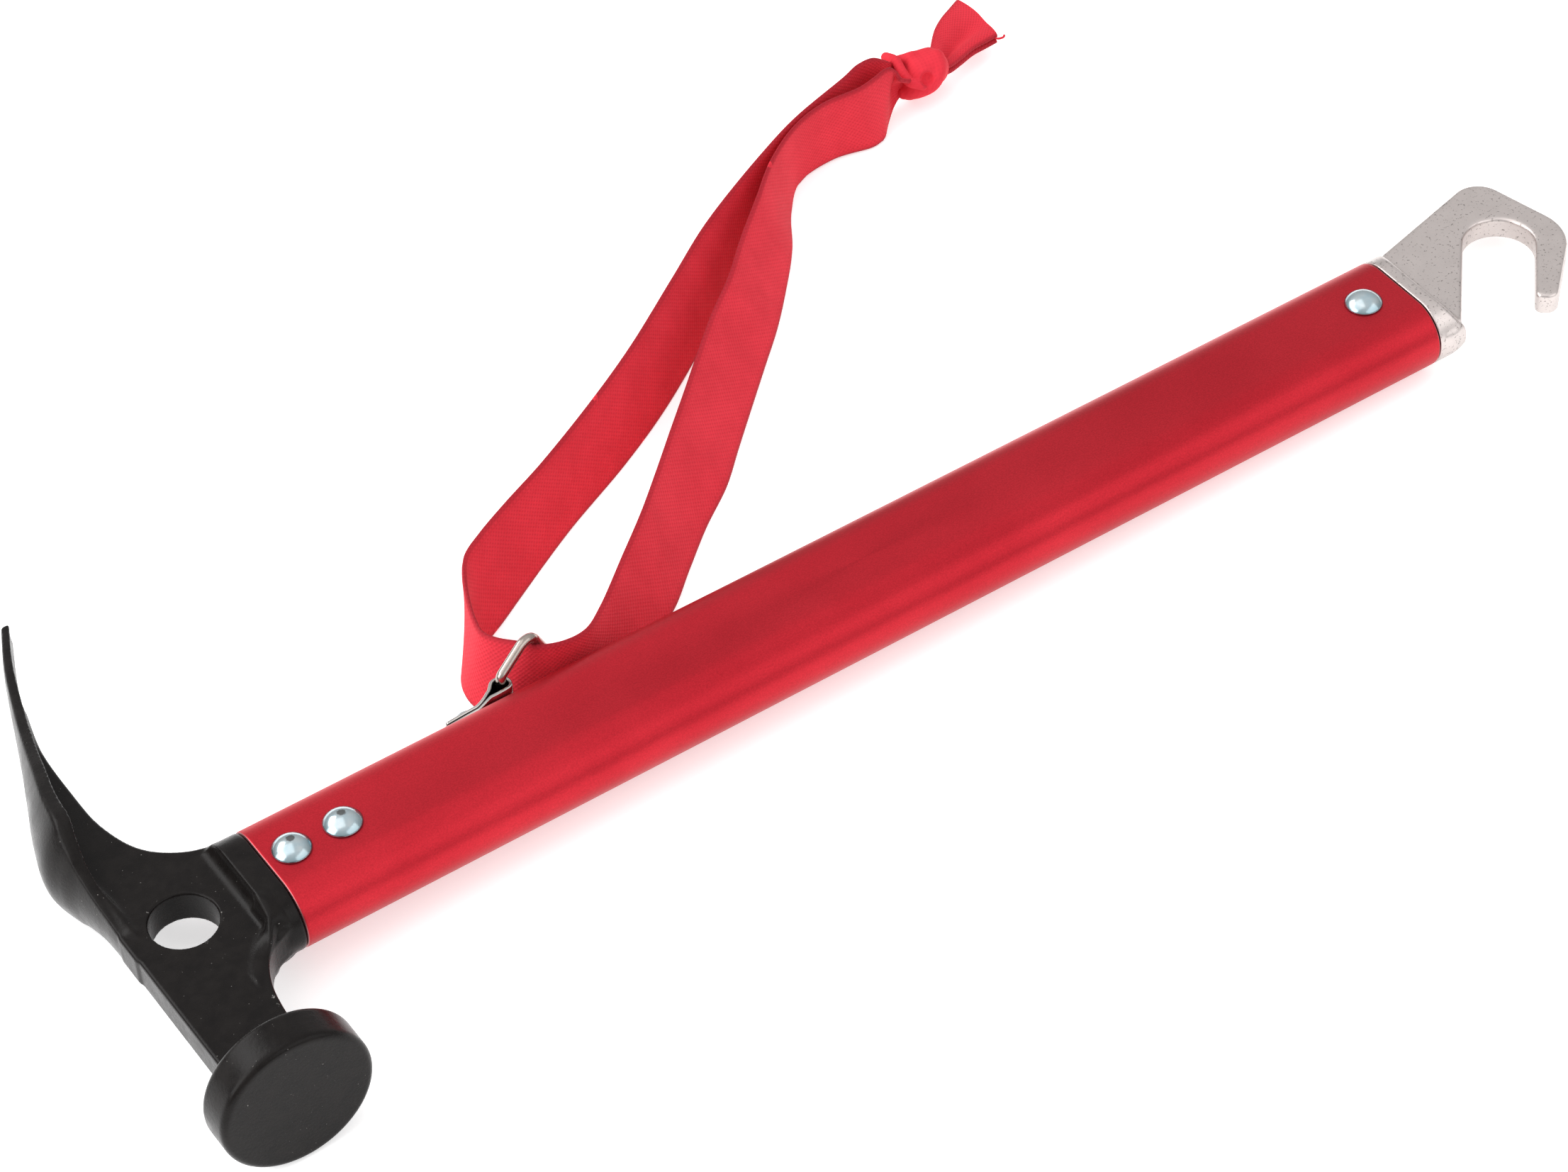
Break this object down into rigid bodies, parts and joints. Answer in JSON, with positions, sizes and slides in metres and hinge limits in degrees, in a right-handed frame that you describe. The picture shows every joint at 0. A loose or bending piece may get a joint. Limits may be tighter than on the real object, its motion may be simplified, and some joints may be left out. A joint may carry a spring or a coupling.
{
  "type": "camping hammer",
  "caption": "Camping hammer with a round striking disc, a cupped curved pick, a flat oval tube handle, a flat hook for pulling pegs, and a webbing wrist strap on a D-ring.",
  "frame": {"origin": "centre of the round hole through the head, at mid thickness", "axes": "+X along the handle from the head to the hook, +Y towards the pick and -Y towards the striking disc, +Z along the thickness with the rivets' domed heads up"},
  "size_m": [0.3113, 0.1636, 0.0282],
  "materials": {
    "black_coating": "semi-gloss black coating on forged steel",
    "red_anodised": "satin red anodised",
    "plated_hook": "satin nickel plate",
    "zinc_rivet": "clear zinc plate",
    "plated_clip": "plated sheet",
    "nickel_wire": "bright nickel plate",
    "red_webbing": "woven"
  },
  "bodies": {
    "handle": {"hammer_head": "black_coating", "handle_tube": "red_anodised", "peg_hook": "plated_hook", "head_rivets": "zinc_rivet", "hook_rivet": "zinc_rivet", "ring_clip": "plated_clip", "clip_rivet": "zinc_rivet"},
    "ring": {"d_ring": "nickel_wire"},
    "strap": {"wrist_strap": "red_webbing", "strap_knot": "red_webbing"}
  },
  "joints": [
    {"name": "ring_swing", "type": "hinge", "parent": "handle", "child": "ring", "pos_m": [0.0706, 0.0146, 0], "axis": [0, 0, 1], "range_deg": [-5, 55]},
    {"name": "strap_swing", "type": "hinge", "parent": "ring", "child": "strap", "pos_m": [0.0766, 0.0162, 0], "axis": [0, 0, 1], "range_deg": [-5, 15], "deforming": ["wrist_strap"]}
  ]
}
